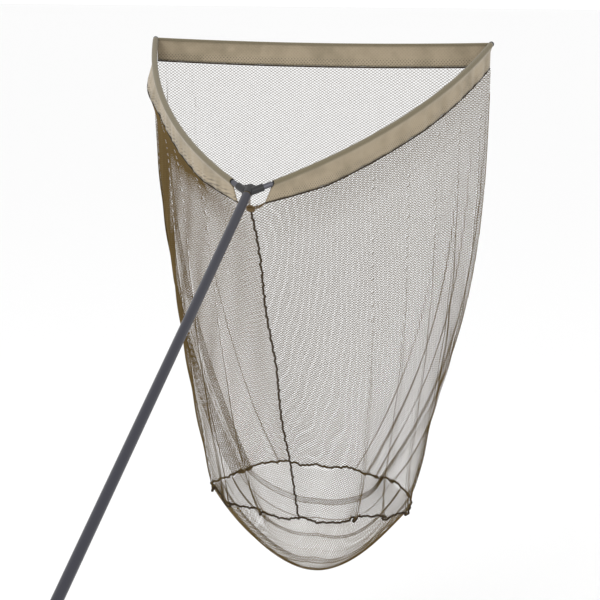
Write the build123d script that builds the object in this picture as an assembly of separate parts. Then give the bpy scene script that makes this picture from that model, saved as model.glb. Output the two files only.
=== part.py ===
"""Landing net with a screw-off head: a straight carbon handle, a spreader block with two bowed
arms, a spreader cord across their tips, and a deep mesh bag hung on the arms and the cord.

Row frame: the origin is on the handle's centre line at the grip, +X is to the right across the
head, +Y is from the butt towards the spreader cord, and +Z is up, against gravity. The handle and
the head lie in one plane, which slopes up at handle_slope away from the butt. Millimetres.
"""
from build123d import *
from math import atan2, cos, hypot, pi, radians, sin
import os

# Driving dimensions
handle_slope = 25  # degrees, butt low and head high
handle_length = 1800
handle_radius = 12.5
handle_wall = 1.75
grip_to_block = 1400  # from the grip's middle to the middle of the spreader block
tip_half_width = 535  # half the distance between the arm tips
head_depth = 835  # from the block to the line through the arm tips
arm_start = (22, 14)  # across and along the head, where an arm crosses the block's edge
arm_start_angle = 50  # degrees from the handle's line
arm_radius = 4.5
arm_in_socket = 12  # of each arm, behind arm_start
arm_travel = 40  # how far an arm pulls out of its socket
socket_reach = 43  # of each socket, past arm_start
socket_radius = 7.5
running_gap = 0.05  # radial, for sliding and screwed fits
sleeve_drop = 66  # from an arm's centre line to the bottom of its sleeve
sleeve_radius = 6.6
sleeve_bore = 5.5
sleeve_cloth = 2.4
cord_radius = 1.6
cord_sag = 9
mesh_depth = 3  # thickness that stands in for the netting
seam_radius = 2
ring_half_width = 325  # of the seam round the base panel
ring_sway = 15  # the bag hangs this far to the right of the handle's line at the base seam
ring_front = (470, -1110)  # along Y and Z from the block
ring_back = (710, -1010)
bag_bottom = (25, 600, -1325)  # from the block
closing_power = {-1: 2.1, 1: 2.9}  # the left side draws in sooner than the right

os.makedirs("parts", exist_ok=True)


def save(name, *solids):
    """Write one node as a STEP file."""
    shape = solids[0] if len(solids) == 1 else Compound(children=list(solids))
    export_step(shape, f"parts/{name}.step")


# The head plane: local x is across the head, local y runs along the handle's line towards the
# spreader cord, and local z is square to the head. Its origin is the middle of the block.
slope = radians(handle_slope)
uphill = Vector(0, cos(slope), sin(slope))
square_to_head = Vector(0, -sin(slope), cos(slope))
block_middle = uphill * grip_to_block
head = Plane(origin=block_middle, x_dir=(1, 0, 0), z_dir=square_to_head)
down = Vector(0, 0, -1)


def in_head(shape):
    """Move a shape modelled flat into the head plane."""
    return head.location * shape


def along(radius, start, length):
    """A round bar on the handle's line, in the head plane's own coordinates."""
    bar = Plane(origin=(0, start, 0), z_dir=(0, 1, 0)) * Cylinder(
        radius, length, align=(Align.CENTER, Align.CENTER, Align.MIN)
    )
    return bar


# Each arm is one circular arc from its socket to its tip.
chord = hypot(tip_half_width - arm_start[0], head_depth - arm_start[1])
chord_angle = atan2(tip_half_width - arm_start[0], head_depth - arm_start[1])
half_turn = radians(arm_start_angle) - chord_angle
bow_radius = chord / 2 / sin(half_turn)
arm_length = 2 * half_turn * bow_radius
bow_centre = (
    arm_start[0] - bow_radius * cos(radians(arm_start_angle)),
    arm_start[1] + bow_radius * sin(radians(arm_start_angle)),
)


def heading(distance):
    """An arm's angle from the handle's line, at a distance along it from arm_start."""
    return radians(arm_start_angle) - distance / bow_radius


def on_arm(distance, offset=0):
    """A point in the head plane on the right arm's centre line, or offset outwards from it."""
    angle = heading(distance)
    reach = bow_radius + offset
    return (bow_centre[0] + reach * cos(angle), bow_centre[1] - reach * sin(angle))


def arm_arc(first, last, offset=0):
    """The arc of the right arm between two distances, in the head plane's own coordinates."""
    ends = [on_arm(d, offset) for d in (first, (first + last) / 2, last)]
    return ThreePointArc(*[(x, y, 0) for x, y in ends])


def arm_bar(radius, first, last):
    """A round bar bent along the right arm."""
    path = arm_arc(first, last)
    section = Plane(origin=path @ 0, z_dir=path % 0) * Circle(radius)
    return sweep(section, path)


def mirrored(shape):
    """The left-hand twin of a right-hand piece."""
    return mirror(shape, about=Plane.YZ)


def save_pair(name, shape):
    """Write a right-hand piece and its left-hand twin, each in its own file."""
    save(f"{name}_right", shape)
    save(f"{name}_left", mirrored(shape))


# Handle: a carbon tube with a threaded insert glued in the front and a plug in the butt.
washer_depth = 1.5
block_back = -14
tube_front = block_back - washer_depth
insert_lip = 3
insert_length = 35
thread_depth = 22
stud_radius = 4.76
stud_length = 14
cap_lip = 6
cap_length = 26
tube_start = tube_front - insert_lip
tube_end = tube_front - handle_length + cap_lip
tube_bore = handle_radius - handle_wall

tube_length = tube_start - tube_end
tube = along(handle_radius, tube_end, tube_length) - along(tube_bore, tube_end, tube_length)
save("handle_tube", in_head(tube))

insert = along(handle_radius, tube_start, insert_lip)
insert += along(tube_bore, tube_front - insert_length, insert_length)
insert -= along(stud_radius + running_gap, tube_front - thread_depth, thread_depth)
save("thread_insert", in_head(insert))

cap = along(handle_radius, tube_end - cap_lip, cap_lip)
cap += along(tube_bore, tube_end - cap_lip, cap_length)
save("butt_cap", in_head(cap))

washer = along(11, tube_front, washer_depth) - along(5, tube_front, washer_depth)
save("thread_washer", in_head(washer))

# Spreader block: a short hub with a forked boss for the two arm sockets.
hub_radius = 13
hub_front = 12
boss_radius = 10.5
boss_reach = 16
web_depth = 12
stud_grip = 16  # of the stud, moulded into the block

hub = along(hub_radius, block_back, hub_front - block_back)
boss = arm_bar(boss_radius, -arm_in_socket - 8, boss_reach)
web_outline = Polyline((-26, 18), (-12, -10), (12, -10), (26, 18), (0, 30), close=True)
web = extrude(Plane.XY.offset(-web_depth / 2) * make_face(web_outline), web_depth)
stud_hole = along(stud_radius, block_back, stud_grip)
socket_hole = arm_bar(socket_radius, -arm_in_socket, boss_reach + 1)
block = hub + boss + mirrored(boss) + web - stud_hole - socket_hole - mirrored(socket_hole)
save("spreader_block", in_head(block))
save("block_stud", in_head(along(stud_radius, block_back - stud_length, stud_length + stud_grip)))

# Arms: each rod slides in a bent socket tube, and its tip carries a pocket for the cord's ferrule.
tip_radius = 8.5
tip_neck = 6.2
pocket_radius = 4.2
pocket_depth = 17
ferrule_radius = 2.8
ferrule_length = 13
rod_end = arm_length - 8
tip_x, tip_y = on_arm(arm_length)
tip_point = block_middle + Vector(tip_x, 0, 0) + uphill * tip_y

socket = arm_bar(socket_radius, -arm_in_socket, socket_reach)
socket -= arm_bar(arm_radius + running_gap, -arm_in_socket, socket_reach)
save_pair("arm_socket", in_head(socket))
save_pair("arm_rod", in_head(arm_bar(arm_radius, -arm_in_socket, rod_end)))

tip = Pos(tip_x, tip_y, 0) * Sphere(tip_radius) + arm_bar(tip_neck, rod_end - 18, arm_length)
tip -= arm_bar(arm_radius, rod_end - 20, rod_end)
pocket = Cylinder(pocket_radius, pocket_depth, align=(Align.CENTER, Align.CENTER, Align.MIN))
pocket_turn = Plane(origin=(tip_x + 5, tip_y, 0), z_dir=(-1, 0, 0))
save_pair("arm_tip", in_head(tip - pocket_turn * pocket))

# Spreader cord: one shallow arc between the tips, with a crimped ferrule in each pocket.
cord_path = ThreePointArc(
    tip_point - Vector(1, 0, 0),
    block_middle + uphill * tip_y + down * cord_sag,
    tip_point - Vector(2 * tip_x - 1, 0, 0),
)
cord_section = Plane(origin=cord_path @ 0, z_dir=cord_path % 0) * Circle(cord_radius)
cord = sweep(cord_section, cord_path)
save("spreader_cord", cord)
ferrule_place = Plane(origin=tip_point + Vector(3, 0, 0), z_dir=(-1, 0, 0))
ferrule = Cylinder(
    ferrule_radius, ferrule_length, align=(Align.CENTER, Align.CENTER, Align.MIN)
)
save_pair("cord_ferrule", ferrule_place * ferrule - cord)

# Side sleeves: a cloth tube round each arm that hangs straight down as a flat double band.
sleeve_first = 62
sleeve_last = arm_length - 30
ribbon = make_face(
    Wire(
        [
            arm_arc(sleeve_first, sleeve_last, sleeve_cloth / 2),
            Line(
                (*on_arm(sleeve_last, sleeve_cloth / 2), 0),
                (*on_arm(sleeve_last, -sleeve_cloth / 2), 0),
            ),
            arm_arc(sleeve_first, sleeve_last, -sleeve_cloth / 2),
            Line(
                (*on_arm(sleeve_first, -sleeve_cloth / 2), 0),
                (*on_arm(sleeve_first, sleeve_cloth / 2), 0),
            ),
        ]
    )
)
band = extrude(in_head(ribbon), amount=sleeve_drop, dir=down)
side_sleeve = band + in_head(arm_bar(sleeve_radius, sleeve_first, sleeve_last))
side_sleeve -= in_head(arm_bar(sleeve_bore, sleeve_first - 30, sleeve_last + 1))
save_pair("sleeve", side_sleeve)

# Back sleeve: the same band on the spreader cord, a little shorter than the gap between the tips.
back_half = tip_half_width - 14
back_sleeve_radius = 4.6
back_sleeve_bore = 3.2


def cord_drop(x):
    """How far the spreader cord hangs below its ends, at a distance from the middle."""
    return cord_sag * (1 - (x / tip_half_width) ** 2)


def back_point(x, drop):
    """A point under the spreader cord, dropped straight down."""
    return block_middle + uphill * tip_y + Vector(x, 0, 0) + down * (cord_drop(x) + drop)


def back_arc(half_width, drop):
    """An arc that follows the cord's sag, from right to left."""
    return ThreePointArc(*[back_point(x, drop) for x in (half_width, 0, -half_width)])


def tube_round(path, radius):
    """A round bar that follows one edge or wire."""
    return sweep(Plane(origin=path @ 0, z_dir=path % 0) * Circle(radius), path)


back_top = back_arc(back_half, 0)
back_bottom = back_arc(back_half, sleeve_drop)
back_face = make_face(
    Wire([back_top, Line(back_top @ 1, back_bottom @ 1), back_bottom, Line(back_bottom @ 0, back_top @ 0)])
)
back_band = extrude(back_face, amount=sleeve_cloth / 2, dir=(0, 1, 0), both=True)
back_sleeve = back_band + tube_round(back_top, back_sleeve_radius)
save("sleeve_back", back_sleeve - tube_round(back_arc(back_half + 1, 0), back_sleeve_bore))

# Sleeve seams: a braided cord sewn along the bottom of each band, where the netting starts.
seam_drop = sleeve_drop + seam_radius / cos(slope) + 0.4
side_seam = arm_bar(seam_radius, sleeve_first, sleeve_last)
save_pair("sleeve_seam", Pos(down * seam_drop) * in_head(side_seam))
save("sleeve_seam_back", tube_round(back_arc(back_half, seam_drop), seam_radius))

# Bag: every level of the bag is one closed outline in a plane that slopes with the head. An
# outline runs round from the front, past a corner on each side, to the middle of the back, and
# changes from the shape of the mouth to the oval of the base seam on its way down.
bag_top = seam_drop + seam_radius + 1
corner_angle = 40  # degrees round the oval where a back corner of the mouth ends up
mouth_front = (8, -bag_top + 8)
mouth_back = (tip_y * cos(slope), tip_y * sin(slope) - bag_top - cord_sag)
levels = (0, 0.1, 0.25, 0.4, 0.55, 0.7, 0.85, 0.995)
side_steps = 8
back_steps = 3


def front_line(level):
    """Along Y and Z from the block, the front of the bag: drawn in quickly, then straight."""
    pull = 0.09 * (1 - (1 - min(level / 0.12, 1)) ** 2)
    part = pull + (1 - 0.09) * level
    y = mouth_front[0] + (ring_front[0] - mouth_front[0]) * part
    z = mouth_front[1] + (ring_front[1] - mouth_front[1]) * level
    return y, z


def back_line(level):
    """Along Y and Z from the block, the back of the bag."""
    y = mouth_back[0] + (ring_back[0] - mouth_back[0]) * level
    z = mouth_back[1] + (ring_back[1] - mouth_back[1]) * level
    return y, z


def mouth_outline(step):
    """Across the bag, and from front 0 to back 1, round the right half of the mouth."""
    if step <= side_steps:
        x, y = on_arm(arm_length * step / side_steps)
        start = 1 - step / side_steps
        return max(x - arm_start[0] * start, 0), (y - arm_start[1] * start) / tip_y
    return tip_x * (1 - (step - side_steps) / back_steps), 1


def oval_outline(step):
    """The same for the oval seam round the base panel."""
    if step <= side_steps:
        angle = -90 + (90 + corner_angle) * step / side_steps
    else:
        angle = corner_angle + (90 - corner_angle) * (step - side_steps) / back_steps
    return ring_half_width * cos(radians(angle)), (1 + sin(radians(angle))) / 2


def bag_point(side, level, step, inset=0):
    """A point on the left (-1) or right (+1) half of the bag, moved inwards by an inset."""
    closing = level ** closing_power[side]
    mouth_x, mouth_share = mouth_outline(step)
    oval_x, oval_share = oval_outline(step)
    x = mouth_x + (oval_x - mouth_x) * closing
    share = mouth_share + (oval_share - mouth_share) * closing
    front_y, front_z = front_line(level)
    back_y, back_z = back_line(level)
    depth = hypot(back_y - front_y, back_z - front_z)
    width = tip_x + (ring_half_width - tip_x) * closing
    x = side * x * (1 - inset / width) + ring_sway * level**2.5
    share = 0.55 + (share - 0.55) * (1 - inset / (0.45 * depth))
    return Vector(x, front_y + (back_y - front_y) * share, front_z + (back_z - front_z) * share)


def panel(places):
    """A strip of the bag's wall through places (side, step) of the outline, with its thickness."""
    sections = []
    for level in levels:
        outer = [block_middle + bag_point(side, level, step) for side, step in places]
        inner = [block_middle + bag_point(side, level, step, mesh_depth) for side, step in places[::-1]]
        edges = [Spline(*outer), Line(outer[-1], inner[0]), Spline(*inner), Line(inner[-1], outer[0])]
        sections.append(Wire(edges))
    return Solid.make_loft(sections)


back_middle = side_steps + back_steps
back_places = [(1, step) for step in range(side_steps, back_middle + 1)]
back_places += [(-1, step) for step in range(back_middle - 1, side_steps - 1, -1)]
save("mesh_side_right", panel([(1, step) for step in range(side_steps + 1)]))
save("mesh_side_left", panel([(-1, step) for step in range(side_steps + 1)]))
save("mesh_back", panel(back_places))

# Base panel: a bowl of the same netting that sags below the base seam.
ring_middle = Vector(ring_sway, (ring_front[0] + ring_back[0]) / 2, (ring_front[1] + ring_back[1]) / 2)
ring_half_depth = hypot(ring_back[0] - ring_front[0], ring_back[1] - ring_front[1]) / 2
ring_slope = atan2(ring_back[1] - ring_front[1], ring_back[0] - ring_front[0])
ring_gap = 5
sags = (0, 0.2, 0.4, 0.6, 0.8, 0.93, 1)
smallest_share = 0.16


def bowl_wire(sag, inset, lift):
    """The outline of the bowl at a share of its sag, from the base seam 0 to the bottom 1."""
    share = max((1 - sag) ** 0.55, smallest_share)
    middle = block_middle + ring_middle + (Vector(*bag_bottom) - ring_middle) * sag
    middle += Vector(0, 0, lift - ring_gap * (1 - sag))
    across = Vector(1, 0, 0)
    turn = ring_slope * (1 - sag)
    plane = Plane(origin=middle, x_dir=across, z_dir=(0, -sin(turn), cos(turn)))
    oval = Ellipse(ring_half_width * share - inset, ring_half_depth * share - inset)
    return (plane * oval).wire()


bowl = Solid.make_loft([bowl_wire(sag, 0, 0) for sag in sags])
hollow = Solid.make_loft([bowl_wire(sag, mesh_depth, mesh_depth * sag) for sag in sags])
save("mesh_base", bowl - hollow)

# Base seam: the same braided cord, sewn round the join of the wall and the base.
ring_plane = Plane(
    origin=block_middle + ring_middle, x_dir=(1, 0, 0), z_dir=(0, -sin(ring_slope), cos(ring_slope))
)
ring_path = (ring_plane * Ellipse(ring_half_width, ring_half_depth)).wire()
save("base_seam", tube_round(ring_path, seam_radius * 0.9))

# Front seam: the cord that closes the wall, from the tie below the block to the base seam.
front_gap = 3.5
front_radius = 1.6
front_levels = (0.01, 0.06, 0.12, 0.7, 0.99)
front_points = [
    block_middle + bag_point(1, level, 0) + Vector(0, -front_gap, 0) for level in front_levels
]
front_path = FilletPolyline(*front_points, radius=60)
save("front_seam", tube_round(front_path, front_radius))

# Front tie: a short cord from the front end of each side seam to a knot hung under the block.
tie_radius = 2.4
knot_radius = 9
knot_middle = block_middle + Vector(0, 10, -43)
seam_end = block_middle + Vector(on_arm(sleeve_first)[0], 0, 0)
seam_end += uphill * (on_arm(sleeve_first)[1] - 3) + down * seam_drop
tie_half = tube_round(Line(knot_middle, seam_end - Vector(2, 2, 0)), tie_radius)
knot = Pos(knot_middle) * Sphere(knot_radius)
hanger = tube_round(Line(knot_middle, knot_middle + Vector(0, 0, 43 - 16)), tie_radius)
save("front_tie", tie_half + mirrored(tie_half) + knot + hanger)
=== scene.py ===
"""A landing net for coarse fishing: a carbon handle, a spreader block that two glass-fibre arms
push into, a cord between the arm tips, cloth sleeves over all three, and a deep knitted net bag."""

import bpy
import numpy as np
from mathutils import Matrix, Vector


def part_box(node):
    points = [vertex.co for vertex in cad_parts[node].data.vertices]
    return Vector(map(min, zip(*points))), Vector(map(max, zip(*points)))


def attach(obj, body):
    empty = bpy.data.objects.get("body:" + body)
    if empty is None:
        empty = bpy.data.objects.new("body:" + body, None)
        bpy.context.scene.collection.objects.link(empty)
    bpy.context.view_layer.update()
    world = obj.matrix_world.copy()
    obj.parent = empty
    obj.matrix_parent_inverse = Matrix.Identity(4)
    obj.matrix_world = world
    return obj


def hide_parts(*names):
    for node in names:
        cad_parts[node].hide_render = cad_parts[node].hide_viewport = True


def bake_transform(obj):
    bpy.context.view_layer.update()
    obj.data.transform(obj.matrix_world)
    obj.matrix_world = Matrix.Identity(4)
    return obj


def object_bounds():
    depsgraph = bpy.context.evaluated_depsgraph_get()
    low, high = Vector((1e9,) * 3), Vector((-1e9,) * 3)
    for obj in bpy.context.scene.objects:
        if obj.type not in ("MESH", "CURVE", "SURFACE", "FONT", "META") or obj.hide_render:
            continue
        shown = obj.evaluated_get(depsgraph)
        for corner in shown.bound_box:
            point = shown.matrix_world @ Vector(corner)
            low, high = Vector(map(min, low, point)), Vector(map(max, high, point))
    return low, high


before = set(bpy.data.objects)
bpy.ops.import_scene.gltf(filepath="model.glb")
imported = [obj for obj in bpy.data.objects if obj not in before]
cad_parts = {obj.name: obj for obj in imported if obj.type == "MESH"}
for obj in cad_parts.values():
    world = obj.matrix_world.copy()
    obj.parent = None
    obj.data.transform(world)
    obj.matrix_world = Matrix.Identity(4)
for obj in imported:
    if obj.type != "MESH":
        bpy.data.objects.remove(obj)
cad_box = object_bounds()

# ---- Handle: a plain carbon tube with a clear gloss lacquer. A brass insert with the screw
# thread is bonded into its upper end, and a rubber cap closes the butt.
carbon_grey = (0.024, 0.024, 0.034)
insert_brass = (0.10, 0.075, 0.04)
butt_rubber = (0.018, 0.018, 0.020)


def finish(name, colour, roughness, **sockets):
    """A plain finish, with any other sockets of the shader by name."""
    material = bpy.data.materials.new(name)
    material.use_nodes = True
    shader = material.node_tree.nodes["Principled BSDF"]
    shader.inputs["Base Color"].default_value = (*colour, 1)
    shader.inputs["Roughness"].default_value = roughness
    for socket, value in sockets.items():
        shader.inputs[socket.replace("_", " ")].default_value = value
    return material


def grain(material, scale, depth, texture="ShaderNodeTexNoise"):
    """Fine relief all over a finish."""
    nodes, links = material.node_tree.nodes, material.node_tree.links
    place = nodes.new("ShaderNodeTexCoord")
    relief = nodes.new(texture)
    relief.inputs["Scale"].default_value = scale
    bump = nodes.new("ShaderNodeBump")
    bump.inputs["Strength"].default_value = 0.5
    bump.inputs["Distance"].default_value = depth
    links.new(place.outputs["Object"], relief.inputs["Vector"])
    links.new(relief.outputs["Fac" if "Fac" in relief.outputs else "Distance"], bump.inputs["Height"])
    links.new(bump.outputs["Normal"], nodes["Principled BSDF"].inputs["Normal"])
    return material


def dress(material, *names):
    """Gives a finish to pieces whose shape is right as they come."""
    for name in names:
        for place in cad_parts[name].material_slots:
            place.material = material


carbon = grain(finish("lacquered_carbon", carbon_grey, 0.34, Specular_IOR_Level=0.38), 400, 0.0001)
dress(carbon, "handle_tube")
dress(finish("insert_brass", insert_brass, 0.3, Metallic=1.0), "thread_insert")
dress(grain(finish("butt_rubber", butt_rubber, 0.8), 900, 0.0002), "butt_cap")

# ---- Spreader block: moulded nylon with two sockets for the arms and a plated steel stud that
# screws into the handle, with a rubber washer between them. The sockets are drawn alloy tube.
block_black = (0.007, 0.007, 0.0075)
washer_black = (0.02, 0.02, 0.02)
stud_steel = (0.62, 0.62, 0.64)
socket_grey = (0.11, 0.11, 0.125)

dress(grain(finish("block_nylon", block_black, 0.42), 700, 0.0001), "spreader_block")
dress(finish("washer_rubber", washer_black, 0.7), "thread_washer")
dress(finish("bright_steel", stud_steel, 0.22, Metallic=1.0), "block_stud")
dress(finish("socket_alloy", socket_grey, 0.35, Metallic=1.0), "arm_socket_left", "arm_socket_right")

# ---- Arms: two solid glass-fibre rods that were bowed as they went into their sockets. Each has
# a moulded nylon tip with a hole for the spreader cord.
rod_black = (0.025, 0.025, 0.026)
tip_black = (0.015, 0.015, 0.016)

dress(finish("rod_glass_fibre", rod_black, 0.4), "arm_rod_left", "arm_rod_right")
dress(finish("tip_nylon", tip_black, 0.45), "arm_tip_left", "arm_tip_right")

# ---- Spreader cord: braided polyester that pulls the arm tips together, knotted off in a
# crimped ferrule at each end. It runs inside the back sleeve.
slope = np.radians(25.0)  # of the handle and the head
uphill = np.array([0, np.cos(slope), np.sin(slope)])
block_middle = uphill * 1.4
tip_half_width = 0.535
head_depth = 0.835
cord_sag = 0.009
cord_thickness = 0.0032
cord_black = (0.02, 0.02, 0.022)


def cord_drop(x):
    """How far the spreader cord hangs below its ends, at a distance from the middle."""
    return cord_sag * (1 - (x / tip_half_width) ** 2)


def under_cord(x, drop):
    """Points that hang straight down from the spreader cord."""
    x = np.asarray(x, float)
    tip_y, tip_z = (block_middle + uphill * head_depth)[1:]
    return np.stack([x, tip_y + 0 * x, tip_z - cord_drop(x) - drop], axis=-1)


def soft_line(name, points, thickness, material):
    """A round cord along these points, as a curve of one open spline."""
    line = bpy.data.curves.new(name, "CURVE")
    line.dimensions = "3D"
    line.bevel_depth = thickness / 2
    line.bevel_resolution = 4
    line.use_fill_caps = True
    spline = line.splines.new("POLY")
    spline.points.add(len(points) - 1)
    for place, point in zip(spline.points, points):
        place.co = (*point, 1)
    line.materials.append(material)
    piece = bpy.data.objects.new(name, line)
    bpy.context.collection.objects.link(piece)
    return piece


cord_low, cord_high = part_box("spreader_cord")
cord_points = under_cord(np.linspace(cord_high[0], cord_low[0], 41), 0)
braid = grain(finish("cord_braid", cord_black, 0.75), 1500, 0.0003)
spreader_line = soft_line("spreader_line", cord_points, cord_thickness, braid)
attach(spreader_line, "spreader")
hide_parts("spreader_cord")
dress(finish("ferrule_steel", stud_steel, 0.3, Metallic=1.0), "cord_ferrule_left", "cord_ferrule_right")

# ---- Sleeves: strips of woven polyester tape folded over each arm and over the spreader cord.
# The two layers hang straight down and are sewn together along the bottom, where the lower part
# of the tape is an open knit. Each is longer than the gap that it fills, so it ripples a little.
arm_start = np.array([0.022, 0.014])
arm_start_angle = np.radians(50.0)
sleeve_first = 0.047
sleeve_drop = 0.066
sleeve_end_gap = 0.006
back_sleeve_end_gap = 0.005
sleeve_round = 0.0088  # outside radius where the tape goes over an arm
back_sleeve_round = 0.0046
tape_thickness = 0.0008
layer_half_gap = 0.0003
ripple_size = 0.0012
tape_khaki = (0.330, 0.270, 0.185)
tape_olive = (0.150, 0.125, 0.075)
knit_pale = (0.36, 0.295, 0.205)
knit_shadow = (0.09, 0.072, 0.045)
knit_scale = 60.0

tip_offset = np.array([tip_half_width, head_depth]) - arm_start
half_turn = arm_start_angle - np.arctan2(*tip_offset)
bow_radius = np.hypot(*tip_offset) / 2 / np.sin(half_turn)
arm_length = 2 * half_turn * bow_radius
seam_drop = sleeve_drop + 0.002 / np.cos(slope) + 0.0004
bow_middle = arm_start + bow_radius * np.array([-np.cos(arm_start_angle), np.sin(arm_start_angle)])


def on_arm(distance):
    """Across and along the head, the arm's centre line at a distance from the block."""
    angle = arm_start_angle - distance / bow_radius
    return bow_middle[0] + bow_radius * np.cos(angle), bow_middle[1] - bow_radius * np.sin(angle)


def under_arm(distance, drop):
    """Points that hang straight down from the right arm."""
    x, along = on_arm(np.asarray(distance, float))
    points = block_middle + along[..., None] * uphill
    points[..., 0] = x
    points[..., 2] -= drop
    return points


def swing(side, distance):
    """How far the bottom of a side sleeve leans out; the left one twists most, towards its tip."""
    size, place, width = (0.024, 0.80, 0.13) if side < 0 else (0.006, 0.60, 0.20)
    end = np.clip((arm_length - distance) / 0.05, 0, 1)
    return size * np.exp(-(((distance - place) / width) ** 2)) * end


def short_by_block(distance):
    """The share of its full drop that a side sleeve has: less close to the block."""
    return np.interp(distance, [0.0, 0.22], [0.60, 1.0])


def slant(distance):
    """How far the bottom of a side sleeve is drawn towards the block, beside the tie."""
    return 0.026 * np.clip(1 - (distance - sleeve_first) / 0.10, 0, 1) ** 2


def seam_line(side, distance):
    """The bottom of a side sleeve, where its seam runs and the netting starts."""
    points = under_arm(distance, sleeve_drop * short_by_block(distance) + seam_drop - sleeve_drop)
    step = 0.001
    heading = np.stack(on_arm(np.asarray(distance) + step), axis=-1) - np.stack(on_arm(distance), axis=-1)
    points[..., 0] += swing(side, distance) * heading[..., 1] / step
    points[..., 1] -= swing(side, distance) * heading[..., 0] / step
    return points * [side, 1, 1]


def shape(name, points, corners, material, tiles=None):
    """A piece from its points and four-sided faces, with a flat layout of the cloth if given."""
    mesh = bpy.data.meshes.new(name)
    mesh.vertices.add(len(points))
    mesh.vertices.foreach_set("co", np.ascontiguousarray(points, np.float32).ravel())
    mesh.loops.add(corners.size)
    mesh.loops.foreach_set("vertex_index", np.ascontiguousarray(corners, np.int32).ravel())
    mesh.polygons.add(len(corners))
    mesh.polygons.foreach_set("loop_start", np.arange(0, corners.size, 4, dtype=np.int32))
    mesh.update(calc_edges=True)
    mesh.shade_smooth()
    if tiles is not None:
        layout = mesh.uv_layers.new(name="OFBake")
        layout.data.foreach_set("uv", np.ascontiguousarray(tiles, np.float32).ravel())
    mesh.materials.append(material)
    piece = bpy.data.objects.new(name, mesh)
    bpy.context.collection.objects.link(piece)
    return piece


def grid_corners(rows, columns, closed=False):
    """The faces of a grid of points; a closed one joins its last column to its first."""
    row = np.arange(rows - 1)[:, None]
    column = np.arange(columns if closed else columns - 1)[None]
    after = (column + 1) % columns
    four = [row * columns + column, row * columns + after]
    four += [(row + 1) * columns + after, (row + 1) * columns + column]
    return np.stack(np.broadcast_arrays(*four), axis=-1).reshape(-1, 4)


def tape_outline(drop, outside, gap):
    """Out from and below the arm, one face of the folded tape: up, over the arm and down again."""
    over = np.radians(np.linspace(-50, 230, 15))
    down = np.array([0.3, 0.5, 0.62, 0.66, 0.8, 0.93, 1.0])
    hang = np.full(len(down), gap)
    outwards = np.concatenate([hang, outside * np.cos(over), -hang])
    below = np.concatenate([drop * down[::-1], -outside * np.sin(over), drop * down])
    return outwards, below


def sleeve(name, top, outwards, drops, leans, slants, outside, phase, material):
    """A folded tape under a line of points, with ripples that grow towards the bottom."""
    steps = len(top)
    along = np.linspace(0, 1, steps)
    run = np.concatenate([[0], np.linalg.norm(np.diff(top, axis=0), axis=1).cumsum()])
    ripple = np.sin(run * 95 + phase) + 0.7 * np.sin(run * 41 + 2 * phase) + 0.6 * np.sin(run * 170 - phase)
    heading = np.gradient(top, axis=0)
    heading /= np.linalg.norm(heading, axis=1)[:, None]
    points = []
    for step in range(steps):
        outer = tape_outline(drops[step], outside, layer_half_gap + tape_thickness)
        inner = tape_outline(drops[step], outside - tape_thickness, layer_half_gap)
        across = np.concatenate([outer[0], inner[0][::-1]])
        below = np.concatenate([outer[1], inner[1][::-1]])
        sway = ripple_size * ripple[step] * np.clip(below / sleeve_drop, 0, 1)
        sway += leans[step] * np.clip(below / drops[step], 0, 1)
        back = slants[step] * np.clip(below / drops[step], 0, 1)
        ring = top[step] + (across + sway)[:, None] * outwards[step] - back[:, None] * heading[step]
        ring[:, 2] -= below
        points.append(ring)
    points = np.array(points)
    rings = points.shape[1]
    corners = grid_corners(steps, rings, closed=True)
    girth = np.linspace(0, 1, rings + 1)
    row = np.repeat(np.arange(steps - 1), rings)
    column = np.tile(np.arange(rings), steps - 1)
    spans = [(row, column), (row, column + 1), (row + 1, column + 1), (row + 1, column)]
    tiles = np.stack([np.stack([along[a], girth[b]], axis=-1) for a, b in spans], axis=1)
    edge = np.arange(rings // 2 - 1)  # the cut ends, where the two faces of the tape meet
    cut = np.stack([edge, edge + 1, rings - 2 - edge, rings - 1 - edge], axis=-1)
    corners = np.concatenate([corners, cut[:, ::-1], cut + (steps - 1) * rings])
    tiles = np.concatenate([tiles, np.full((2 * len(cut), 4, 2), 0.001)])
    piece = shape(name, points.reshape(-1, 3), corners, material, tiles)
    share = piece.data.attributes.new("drop_share", "FLOAT", "POINT")
    share.data.foreach_set("value", (np.clip(below, 0, None) / drops[-1])[None].repeat(steps, 0).ravel())
    return piece


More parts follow.
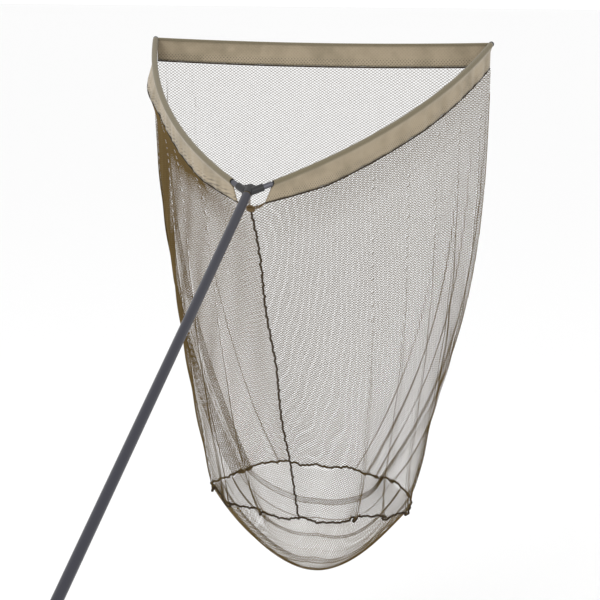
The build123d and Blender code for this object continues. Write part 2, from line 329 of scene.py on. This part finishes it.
def tape_finish(name):
    """Khaki tape: darker olive near the arm, and a pale open knit along the bottom third. Painted shade
    darkens the hollows between the ridges of the weave, lightly on the tape and strongly in the open knit.
    """
    material = finish(name, tape_khaki, 0.9, Sheen_Weight=0.25)
    nodes, links = material.node_tree.nodes, material.node_tree.links
    share = nodes.new("ShaderNodeAttribute")
    share.attribute_name = "drop_share"
    tone = nodes.new("ShaderNodeValToRGB")
    tone.color_ramp.elements[0].color = (*tape_olive, 1)
    tone.color_ramp.elements[1].color = (*tape_olive, 1)
    bands = ((0.12, tape_khaki), (0.62, tape_khaki), (0.68, knit_pale), (0.9, knit_pale))
    for position, colour in bands:
        stop = tone.color_ramp.elements.new(position)
        stop.color = (*colour, 1)
    links.new(share.outputs["Fac"], tone.inputs["Fac"])
    place = nodes.new("ShaderNodeTexCoord")
    patch = nodes.new("ShaderNodeTexNoise")
    patch.inputs["Scale"].default_value = 14.0
    patch.inputs["Detail"].default_value = 6.0
    links.new(place.outputs["Object"], patch.inputs["Vector"])
    mix = nodes.new("ShaderNodeMix")
    mix.data_type = "RGBA"
    mix.inputs["B"].default_value = (*tape_olive, 1)
    reach = nodes.new("ShaderNodeMapRange")
    reach.inputs["From Min"].default_value = 0.45
    reach.inputs["From Max"].default_value = 0.75
    reach.inputs["To Max"].default_value = 0.6
    links.new(patch.outputs["Fac"], reach.inputs["Value"])
    links.new(reach.outputs["Result"], mix.inputs["Factor"])
    links.new(tone.outputs["Color"], mix.inputs["A"])
    knit = []
    for lean in (1, -1):
        turned = nodes.new("ShaderNodeMapping")
        turned.inputs["Scale"].default_value = (lean, lean, 1)
        weave = nodes.new("ShaderNodeTexWave")
        weave.bands_direction = "DIAGONAL"
        weave.inputs["Scale"].default_value = knit_scale
        weave.inputs["Distortion"].default_value = 1.2
        links.new(place.outputs["Object"], turned.inputs["Vector"])
        links.new(turned.outputs["Vector"], weave.inputs["Vector"])
        knit.append(weave)
    meet = nodes.new("ShaderNodeMath")
    meet.operation = "MAXIMUM"
    links.new(knit[0].outputs["Fac"], meet.inputs[0])
    links.new(knit[1].outputs["Fac"], meet.inputs[1])
    strength = nodes.new("ShaderNodeMapRange")
    strength.inputs["From Min"].default_value = 0.60
    strength.inputs["From Max"].default_value = 0.70
    strength.inputs["To Min"].default_value = 0.16
    strength.inputs["To Max"].default_value = 0.80
    links.new(share.outputs["Fac"], strength.inputs["Value"])
    # Painted shade: between the ridges of the weave the colour is mixed towards the dark knit_shadow, more
    # in the open knit along the bottom.
    weave_shade = nodes.new("ShaderNodeMath")
    weave_shade.operation = "MULTIPLY"
    away = nodes.new("ShaderNodeMath")
    away.operation = "SUBTRACT"
    away.inputs[0].default_value = 1.0
    links.new(meet.outputs["Value"], away.inputs[1])
    links.new(away.outputs["Value"], weave_shade.inputs[0])
    links.new(strength.outputs["Result"], weave_shade.inputs[1])
    shaded_weave = nodes.new("ShaderNodeMix")
    shaded_weave.data_type = "RGBA"
    shaded_weave.inputs["B"].default_value = (*knit_shadow, 1)
    links.new(weave_shade.outputs["Value"], shaded_weave.inputs["Factor"])
    links.new(mix.outputs["Result"], shaded_weave.inputs["A"])
    links.new(shaded_weave.outputs["Result"], nodes["Principled BSDF"].inputs["Base Color"])
    bump = nodes.new("ShaderNodeBump")
    bump.inputs["Strength"].default_value = 0.6
    bump.inputs["Distance"].default_value = 0.0006
    links.new(meet.outputs["Value"], bump.inputs["Height"])
    links.new(bump.outputs["Normal"], nodes["Principled BSDF"].inputs["Normal"])
    return material


tape = tape_finish("sleeve_tape")
arm_distance = np.linspace(sleeve_first, arm_length - sleeve_end_gap, 161)
for side, side_name in ((1, "right"), (-1, "left")):
    top = under_arm(arm_distance, 0) * [side, 1, 1]
    heading = np.gradient(top, axis=0)
    outwards = np.cross(heading, [0, 0, 1])
    outwards *= side / np.linalg.norm(outwards, axis=1)[:, None]
    piece = sleeve(f"side_sleeve_{side_name}", top, outwards, sleeve_drop * short_by_block(arm_distance),
                   swing(side, arm_distance), slant(arm_distance), sleeve_round, 1.0 + side, tape)
    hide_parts(f"sleeve_{side_name}")
    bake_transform(piece)

back_x = np.linspace(tip_half_width - back_sleeve_end_gap, -tip_half_width + back_sleeve_end_gap, 151)
back_top = under_cord(back_x, 0)
straight = np.zeros(len(back_x))
back_phase = 2.4  # of its ripples
back_sleeve = sleeve("back_sleeve", back_top, np.tile([0.0, 1.0, 0.0], (len(back_x), 1)),
                     np.full(len(back_x), sleeve_drop), straight, straight, back_sleeve_round,
                     back_phase, tape)
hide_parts("sleeve_back")
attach(back_sleeve, "spreader")

# ---- Sleeve seams: a dark braided cord sewn along the bottom of each sleeve, which holds the top
# edge of the netting.
seam_thickness = 0.0052
lay_length = 0.014  # of one turn of the braid
seam_brown = (0.030, 0.018, 0.007)


def tube(path, radius, sides, towards):
    """Points and faces of a round tube along a path, where towards is roughly square to it."""
    heading = np.gradient(path, axis=0)
    heading /= np.linalg.norm(heading, axis=1)[:, None]
    side = np.cross(heading, towards)
    side /= np.linalg.norm(side, axis=1)[:, None]
    up = np.cross(side, heading)
    turn = np.linspace(0, 2 * np.pi, sides, endpoint=False)
    ring = side[:, None] * np.cos(turn)[:, None] + up[:, None] * np.sin(turn)[:, None]
    size = np.full(len(path), radius)
    size[[0, -1]] *= 0.3
    return (path[:, None] + size[:, None, None] * ring).reshape(-1, 3), grid_corners(len(path), sides, True)


def join(parts):
    """One set of points and faces from several."""
    points, corners, count = [], [], 0
    for part_points, part_corners in parts:
        points.append(part_points)
        corners.append(part_corners + count)
        count += len(part_points)
    return np.concatenate(points), np.concatenate(corners)


def braided(path, thickness, towards, strands=3):
    """A braided cord: its strands wound round one another along a path."""
    run = np.concatenate([[0], np.linalg.norm(np.diff(path, axis=0), axis=1).cumsum()])
    steps = int(run[-1] / lay_length * 9) + 2
    even = np.linspace(0, run[-1], steps)
    middle = np.stack([np.interp(even, run, path[:, axis]) for axis in range(3)], axis=-1)
    heading = np.gradient(middle, axis=0)
    side = np.cross(heading, towards)
    side /= np.linalg.norm(side, axis=1)[:, None]
    up = np.cross(side, heading)
    up /= np.linalg.norm(up, axis=1)[:, None]
    parts = []
    for strand in range(strands):
        turn = (2 * np.pi * (even / lay_length + strand / strands))[:, None]
        off = 0.25 * thickness * (side * np.cos(turn) + up * np.sin(turn))
        parts.append(tube(middle + off, 0.26 * thickness, 5, towards))
    return join(parts)


seam_braid = finish("seam_braid", seam_brown, 0.85)
for side, side_name in ((1, "right"), (-1, "left")):
    path = seam_line(side, arm_distance - slant(arm_distance))
    piece = shape(f"side_seam_{side_name}", *braided(path, seam_thickness, (0, 0, 1)), seam_braid)
    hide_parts(f"sleeve_seam_{side_name}")
    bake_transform(piece)
piece = shape("back_seam", *braided(under_cord(back_x, seam_drop), seam_thickness, (0, 0, 1)), seam_braid)
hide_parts("sleeve_seam_back")
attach(piece, "spreader")

# ---- Bag wall: a knotless net knitted from brown nylon yarn, cut as two side panels and a back
# panel. It changes from the shape of the mouth to the oval of the base seam, and what is too wide
# lies in pleats that open downwards beside the back corners.
bag_top = seam_drop + 0.003
ring_half_width = 0.325
ring_sway = 0.015
mouth_front = np.array([0.008, -bag_top + 0.008])
mouth_back = np.array([head_depth * np.cos(slope), head_depth * np.sin(slope) - bag_top - cord_sag])
ring_front = np.array([0.470, -1.110])
ring_back = np.array([0.710, -1.010])
closing_power = {-1: 2.1, 1: 2.9}
corner_angle = 40.0
cell_width = 0.0128
cell_rows = 156
yarn_radius = 0.00082
back_yarn_radius = 0.00108  # drawn thicker than at the sides, so that the far panel shows
pleat_gap = 0.0028
hem_step = 0.005  # between the layers of a pleat at the base seam
top_reach = 0.12  # the share of the wall below the mouth that its seams pull on
ring_middle_y = 0.59  # from the block
edge_fade = 0.03  # how far from a cut edge the ripples start
yarn_brown = (0.150, 0.098, 0.034)


def front_and_back(level):
    """Along Y and Z from the block, the front and the back of the bag at a level."""
    pull = 0.09 * (1 - (1 - min(level / 0.12, 1)) ** 2)
    front = mouth_front + (ring_front - mouth_front) * [pull + 0.91 * level, level]
    return front, mouth_back + (ring_back - mouth_back) * level


def half_outline(side, level, part):
    """The bag's outline on one side: part runs 0 to 1 along the side and 1 to 2 to mid-back."""
    along_side = np.minimum(part, 1)
    along_back = np.maximum(part - 1, 0)
    x, y = on_arm(arm_length * along_side)
    mouth_x = np.maximum(x - arm_start[0] * (1 - along_side), 0) * (1 - along_back)
    mouth_share = (y - arm_start[1] * (1 - along_side)) / head_depth
    angle = np.radians(-90 + (90 + corner_angle) * along_side + (90 - corner_angle) * along_back)
    closing = level ** closing_power[side]
    x = mouth_x + (ring_half_width * np.cos(angle) - mouth_x) * closing
    share = mouth_share + ((1 + np.sin(angle)) / 2 - mouth_share) * closing
    front, back = front_and_back(level)
    points = np.empty((len(part), 3))
    points[:, 0] = side * x + ring_sway * level**2.5
    points[:, 1:] = front + (back - front) * share[:, None]
    points += block_middle
    if level < top_reach:  # the top edge is pulled up to the seams
        seams = np.where((part <= 1)[:, None], seam_line(side, arm_length * along_side),
                         under_cord(side * mouth_x, seam_drop))
        seams[:, 2] -= 0.001
        start = np.stack([np.clip(part / 0.07, 0, 1), 1 + 0 * part, 1 + 0 * part], axis=-1)
        start *= (1 - level / top_reach) ** 2
        level_mouth = mouth_front + (mouth_back - mouth_front) * mouth_share[:, None]
        flat = np.stack([side * mouth_x, *level_mouth.T], axis=-1) + block_middle
        points += (seams - flat) * start
    return points


ring_tucks = ((212, 9, 0.030, 0.012), (188, 7, -0.004, 0.022), (172, 9, 0.030, 0.0), (-24, 9, -0.028, 0.010),
              (-4, 8, 0.004, -0.016), (15, 8, -0.022, 0.010))


def ring_wander(points, level):
    """The base seam isn't even: it wanders in and out, and takes the netting beside it along."""
    turn = np.arctan2(points[:, 1] - block_middle[1] - ring_middle_y, points[:, 0] - ring_sway)
    reach = level**7
    moved = points.copy()
    moved[:, 2] += reach * (0.003 * np.sin(3 * turn + 0.6) + 0.003 * np.sin(8 * turn + 1.0))
    moved[:, 1] += reach * 0.005 * np.sin(5 * turn + 2.0)
    for place, width, across, up in ring_tucks:
        away = np.degrees(np.angle(np.exp(1j * (turn - np.radians(place)))))
        bump = reach * np.exp(-((away / width) ** 2))
        moved[:, 0] += across * bump
        moved[:, 2] += up * bump
    return moved


def panel_outline(panel, level):
    """Points along one panel's outline at a level: from the front seam, or from right to left."""
    if panel == "back":
        right = half_outline(1, level, np.linspace(1, 2, 80))
        return np.concatenate([right, half_outline(-1, level, np.linspace(2, 1, 80))[1:]])
    return half_outline(1 if panel == "right" else -1, level, np.linspace(0, 1, 160))


def pleated(along, pleats):
    """Where cloth lies along the outline, and its height above it, with these pleats taken up.

    Each pleat (start, width) is cloth that goes forward, turns back and goes forward again.
    """
    place, height, taken = along.copy(), np.zeros_like(along), 0.0
    for start, width in pleats:
        share = (along - start - taken) / width
        place -= 2 * width * np.clip(share - 1, 0, 1)
        rise = np.interp(share, [0.5, 2.5, 3.4, 5.5], [0, 2, 2, 0])
        height = np.maximum(height, pleat_gap * rise)
        taken += 2 * width
    return place, height, taken


def wide(size, level, start=0.0):
    """A pleat's width at a level: nothing at its start, and its full size at the base seam."""
    share = min(max((level - start) / (1 - start), 0), 1)
    return max(size * (3 * share**2 - 2 * share**3) ** 0.7, 0.0004)


def right_panel_pleats(length, level):
    """From the front seam to the right corner."""
    return [(length * 0.40, wide(0.005, level, 0.30)), (length * 0.55, wide(0.009, level, 0.25)),
            (length * 0.68, wide(0.005, level, 0.10)), (length * 0.80, wide(0.014, level, 0.10)),
            (length * 0.93, wide(0.006, level, 0.0))]


def left_panel_pleats(length, level):
    """From the front seam to the left corner, where a wide pleat ends the panel."""
    return [(length * 0.30, wide(0.005, level, 0.30)), (length * 0.50, wide(0.010, level, 0.20)),
            (length * 0.64, wide(0.005, level, 0.10)), (length - 0.056, wide(0.050, level, 0.0))]


def back_panel_pleats(length, level):
    """From the right corner to the left one: narrow pleats, a plain middle, and a wide one."""
    first = [(0.010, wide(0.012, level, 0.0)), (0.050, wide(0.006, level, 0.05)),
             (0.085, wide(0.010, level, 0.20)), (0.130, wide(0.004, level, 0.35))]
    last = [(length - 0.125, wide(0.005, level, 0.30)), (length - 0.034, wide(0.028, level, 0.0))]
    return first + last


pleats_of = {"right": right_panel_pleats, "left": left_panel_pleats, "back": back_panel_pleats}
levels = np.linspace(0, 1, 2 * cell_rows + 1)


def lay_cloth(panel, level, along):
    """Where a panel's cloth lies at a level, and whether each place is inside the panel's cut."""
    outline = panel_outline(panel, level)
    run = np.concatenate([[0], np.linalg.norm(np.diff(outline, axis=0), axis=1).cumsum()])
    pleats = pleats_of[panel](run[-1], level)
    full = run[-1] + 2 * sum(width for start, width in pleats)
    along = along + (full / 2 if panel == "back" else 0)
    inside = (along >= -cell_width / 2) & (along <= full + cell_width / 2)
    along = np.clip(along, 0, full)  # a yarn within half a cell of the cut edge ends on it
    place, height, taken = pleated(along, pleats)
    heading = np.gradient(outline, axis=0)
    front, back = front_and_back(level)
    middle = np.array([ring_sway * level**2.5, *(block_middle[1:] + (front + back) / 2)])
    out = np.cross(heading, np.cross(heading, middle - outline))
    out /= np.linalg.norm(out, axis=1)[:, None]
    wave = 0.0022 * np.sin(place * 23 + level * 5) + 0.0016 * np.sin(place * 61 - level * 14)
    flatness = np.clip(np.minimum(place, run[-1] - place) / edge_fade, 0, 1)
    lift = (height + wave * np.sin(np.pi * min(level * 1.6, 1) / 2)) * flatness
    points = np.stack([np.interp(place, run, outline[:, axis]) for axis in range(3)], axis=-1)
    points += lift[:, None] * np.stack([np.interp(place, run, out[:, axis]) for axis in range(3)], axis=-1)
    points[:, 2] -= level**7 * hem_step * height / pleat_gap
    return ring_wander(points, level), inside, full


def panel_points(panel, columns):
    """Every place where two yarns meet: columns of cloth by half rows, with those off the cut."""
    rows = [lay_cloth(panel, level, columns[:, row]) for row, level in enumerate(levels)]
    return np.stack([row[0] for row in rows], axis=1), np.stack([row[1] for row in rows], axis=1)


def yarns(table, kept, radius, towards):
    """Three-sided strands along each row of a table of points, where both ends are kept.

    Each strand draws to a point where it ends in a seam.
    """
    end_share = 0.02  # of the yarn's radius
    heading = np.gradient(table, axis=1)
    side = np.cross(heading, towards)
    side /= np.maximum(np.linalg.norm(side, axis=-1), 1e-12)[..., None]
    up = np.cross(heading, side)
    up /= np.maximum(np.linalg.norm(up, axis=-1), 1e-12)[..., None]
    turn = np.radians([90, 210, 330])
    ring = side[..., None, :] * np.cos(turn)[:, None] + up[..., None, :] * np.sin(turn)[:, None]
    paths, rows = kept.shape
    beside = np.pad(kept, ((0, 0), (1, 1)))
    ends = ~(beside[:, :-2] & beside[:, 2:])
    thickness = np.where(ends, radius * end_share, radius)
    points = (table[..., None, :] + thickness[..., None, None] * ring).reshape(-1, 3)
    number = np.arange(paths * rows).reshape(paths, rows)
    whole = kept[:, :-1] & kept[:, 1:]
    start, end = number[:, :-1][whole], number[:, 1:][whole]
    corners = [np.stack([start * 3 + a, start * 3 + b, end * 3 + b, end * 3 + a], axis=-1)
               for a, b in ((0, 1), (1, 2), (2, 0))]
    corners = np.concatenate(corners)
    used, corners = np.unique(corners, return_inverse=True)
    return points[used], corners.reshape(-1, 4)


netting = finish("knotless_netting", yarn_brown, 0.75, Specular_IOR_Level=0.15)
row_odd = (np.arange(len(levels)) % 2)[None]
panel_width = {"right": arm_length, "left": arm_length, "back": 2 * tip_half_width}
closed_width = 0.6  # a guess: the netting's width with its cells closed, to its width when open
panel_drop = 1.25  # of the knitted panels, from the seams of the sleeves to the base seam
panel_node = {"right": "mesh_side_right", "left": "mesh_side_left", "back": "mesh_back"}
for panel, width in panel_width.items():
    cells = int(width / cell_width) + 12
    first_cell = -(cells // 2) if panel == "back" else 0
    halves = [(first_cell, first_cell + cells // 2), (first_cell + cells // 2, first_cell + cells)]
    for half, (low, high) in zip(("first", "second"), halves):
        strands, cloth_area = [], 0.0
        for lean in (0.5, -0.5):
            cell = np.arange(low, high)[:, None]
            columns = (cell + (0 if lean > 0 else 1) + lean * row_odd) * cell_width
            table, kept = panel_points(panel, columns)
            if panel == "back":
                strands.append(yarns(table, kept, back_yarn_radius, (0.0, 1.0, 0.0)))
            else:
                strands.append(yarns(table, kept, yarn_radius, (1.0, 0.0, 0.0)))
            cloth_area += kept.sum() / 2 * closed_width * cell_width * panel_drop / len(levels)
        piece = shape(f"net_{panel}_{half}", *join(strands), netting)
        if half == "first":
            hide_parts(panel_node[panel])
        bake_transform(piece)

# ---- Base seam: the same dark braid, where the wall and the base panel are sewn together.
hem_brown = (0.036, 0.022, 0.009)
hem_thickness = 0.0074
hem_wander = 0.0016
hem_braid = finish("hem_braid", hem_brown, 0.9)
ring_middle = block_middle + np.array([ring_sway, *(ring_front + ring_back) / 2])
ring_depth = np.linalg.norm(ring_back - ring_front) / 2
ring_slope = np.arctan2(*(ring_back - ring_front)[::-1])


def crooked(path, size, phase):
    """A hand-sewn seam's path: it wanders a little from side to side."""
    run = np.concatenate([[0], np.linalg.norm(np.diff(path, axis=0), axis=1).cumsum()])
    off = [np.sin(run * 150 + phase) + np.sin(run * 317 + 2 * phase), np.sin(run * 97 - phase) * 0.6,
           np.sin(run * 187 + phase) + 0.8 * np.sin(run * 411)]
    return path + size * np.stack(off, axis=-1)


hem_path = []
for panel, back_to_front in (("right", False), ("back", False), ("left", True)):
    full = lay_cloth(panel, 1.0, np.zeros(1))[2]
    along = np.linspace(0, full, 260) - (full / 2 if panel == "back" else 0)
    edge = lay_cloth(panel, 1.0, along)[0]
    hem_path.append(edge[::-1] if back_to_front else edge)
hem_path = crooked(np.concatenate(hem_path), hem_wander, 0.0)
piece = shape("base_seam_braid", *braided(hem_path, hem_thickness, (0, 0, 1)), hem_braid)
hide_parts("base_seam")
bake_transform(piece)

# ---- Base panel: one oval of the same netting that sags below the base seam. Its creases run on
# from the pleats of the wall, down one side, under the bottom and up the other.
bottom = block_middle + np.array([0.025, 0.600, -1.325])
bowl_power = 0.55
bowl_pleats = (
    (-0.17, 0.006), (-0.12, 0.016), (-0.08, 0.005), (-0.045, 0.014), (-0.01, 0.005), (0.03, 0.010),
    (0.08, 0.005), (0.12, 0.018),
)
station_step = 0.00415  # along the yarns of the base panel

sag_steps = np.linspace(0, 1, 400)
share_steps = (1 - sag_steps) ** bowl_power
drop = ring_middle[2] - bottom[2]


def arc_to_share(half_width):
    """How much of the bowl's radius is left at each share of the way up its side."""
    leg = np.hypot(np.diff(share_steps) * half_width, np.diff(sag_steps) * drop)
    run = np.concatenate([[0], leg.cumsum()])
    return (run[-1] - run[::-1]) / run[-1], share_steps[::-1], run[-1]


wide_run, wide_share, half_length = arc_to_share(ring_half_width)
deep_run, deep_share, half_depth = arc_to_share(ring_depth)


def in_bowl(across, along):
    """Points of the base panel from places on the flat oval, both from -1 to 1."""
    reach = np.clip(np.hypot(across, along), 1e-9, 1)
    level_part = np.abs(across) / reach
    share = np.interp(reach, wide_run, wide_share) * level_part
    share = share + np.interp(reach, deep_run, deep_share) * (1 - level_part)
    sag = 1 - share ** (1 / bowl_power)
    tilt = ring_slope * (1 - sag)
    x = ring_half_width * share * across / reach
    y = ring_depth * share * along / reach
    points = np.stack([x, y * np.cos(tilt), y * np.sin(tilt)], axis=-1)
    points = points + ring_middle + (bottom - ring_middle) * sag[..., None]
    flat = points.reshape(-1, 3)
    return ring_wander(flat, share.reshape(-1)).reshape(points.shape)


def base_table(columns, rows):
    """Places where two yarns meet in the base panel; the rows run from side to side."""
    along, height, taken = pleated(rows + 0.0, [(start, width) for start, width in bowl_pleats])
    along += taken / 2
    across = columns / half_length
    deep = along / half_depth
    inside = np.hypot(across, deep) <= 1
    table = in_bowl(across, deep)
    table[..., 2] -= height
    return table, inside


cells = int(2 * half_length / (2 * station_step)) + 2
half_rows = int(half_depth * 2 / cell_width) + 12
stations = (np.arange(-cells, cells + 1) * station_step)[None]
odd = (np.arange(2 * cells + 1) % 2)[None]
strands = []
for lean in (0.5, -0.5):
    row = np.arange(-half_rows // 2, half_rows // 2)[:, None]
    row = (row + (0 if lean > 0 else 1) + lean * odd) * cell_width
    station = np.broadcast_to(stations, row.shape)
    table, inside = base_table(station, row)
    strands.append(yarns(table, inside, yarn_radius, (0.0, 0.0, 1.0)))
piece = shape("net_base", *join(strands), netting)
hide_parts("mesh_base")
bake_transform(piece)

# ---- Front seam: the braid that closes the wall below the block, from the tie down to the base
# seam, sewn a little crooked.
front_thickness = 0.0068
front_wander = 0.0014
front_steps = np.linspace(0.012, 0.995, 240)
front_path = np.array([half_outline(1, level, np.zeros(1))[0] for level in front_steps])
front_path[:, 0] += 0.004 * np.sin(front_steps * 17) * np.sin(np.pi * front_steps)
front_path[:, 1] -= 0.002
front_path = crooked(front_path, front_wander, 1.0)
piece = shape("front_seam_braid", *braided(front_path, front_thickness, (0, 1, 0)), hem_braid)
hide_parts("front_seam")
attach(piece, "head")

# ---- Front tie: a short length of waxed cord that gathers the front ends of the two side seams
# to a knot under the block.
tie_brown = (0.12, 0.072, 0.022)
tie_thickness = 0.0046
loop_radius = 0.0024
hanger_radius = 0.0013
tie_sag = 0.006
knot = block_middle + np.array([0.0, 0.010, -0.043])
tie_cord = finish("tie_cord", tie_brown, 0.7)
parts = []
for side in (1, -1):
    seam_end = seam_line(side, sleeve_first - slant(sleeve_first))
    for offset in (-0.0022, 0.0022):
        share = np.linspace(0, 1, 14)[:, None]
        path = knot + (seam_end - knot) * share
        path[:, 2] += offset * np.sin(np.pi * share[:, 0]) - tie_sag * np.sin(np.pi * share[:, 0])
        parts.append(braided(path, tie_thickness, (0, 1, 0), strands=2))
for size, tilt in ((0.0096, 0.3), (0.0078, 1.2), (0.0105, 2.2), (0.0070, 2.9)):
    around = np.linspace(0, 2 * np.pi, 25)
    circle = [np.cos(around), np.sin(around) * np.cos(tilt), np.sin(around) * np.sin(tilt)]
    loop = knot + [0.003, 0.0, -0.004] + size * np.stack(circle, axis=-1)
    parts.append(tube(loop, loop_radius, 6, (0.3, 0.9, 0.31)))
hanger = knot + np.linspace(0, 1, 10)[:, None] * [0.0, 0.0, 0.027]
for offset in (-0.0016, 0.0016):
    parts.append(tube(hanger + [offset, 0, 0], hanger_radius, 6, (0, 1, 0)))
piece = shape("front_tie_knot", *join(parts), tie_cord)
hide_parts("front_tie")
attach(piece, "head")

# ---- Floor, light and camera.
floor_white = (0.92, 0.92, 0.92)
floor_drop = 0.45
floor_half_size = 60.0
world_strength = 1.05
floor_z = float(cad_box[0][2]) - floor_drop
floor_points = np.array([[x, y, floor_z] for x, y in ((-1, -1), (1, -1), (1, 1), (-1, 1))])
floor_points[:, :2] *= floor_half_size
floor = shape("floor", floor_points, np.array([[0, 1, 2, 3]]), finish("floor_white", floor_white, 0.9))

world = bpy.data.worlds.new("studio")
world.use_nodes = True
world.node_tree.nodes["Background"].inputs["Color"].default_value = (1, 1, 1, 1)
world.node_tree.nodes["Background"].inputs["Strength"].default_value = world_strength
bpy.context.scene.world = world
bpy.context.scene.view_settings.view_transform = "Standard"


def direction(place, aim):
    """The rotation of a lamp or camera at a place that points at another."""
    return (Vector(aim) - Vector(place)).to_track_quat("-Z", "Y").to_euler()


def soft_box(name, place, aim, width, watts):
    """A square studio light that points at a place."""
    light = bpy.data.lights.new(name, "AREA")
    light.size = width
    light.energy = watts
    lamp = bpy.data.objects.new(name, light)
    lamp.location = place
    lamp.rotation_euler = direction(place, aim)
    bpy.context.collection.objects.link(lamp)


bag_middle = block_middle + np.array([0.0, 0.5, -0.4])
soft_box("key_light", (-2.4, -1.6, 3.2), bag_middle, 2.2, 60)
soft_box("fill_light", (2.6, -0.6, 1.8), bag_middle, 2.0, 20)

aim = block_middle + np.array([0.1506, -0.0281, -0.2816])
turn, rise, distance = np.radians(15.0), np.radians(13.2), 4.009
camera_place = aim + distance * np.array(
    [np.sin(turn) * np.cos(rise), -np.cos(turn) * np.cos(rise), np.sin(rise)]
)
camera_data = bpy.data.cameras.new("camera")
camera_data.lens = 90.0
camera_data.sensor_width = 36.0
camera = bpy.data.objects.new("camera", camera_data)
camera.location = camera_place
camera.rotation_euler = direction(camera_place, aim)
bpy.context.collection.objects.link(camera)
bpy.context.scene.camera = camera

bpy.context.view_layer.update()
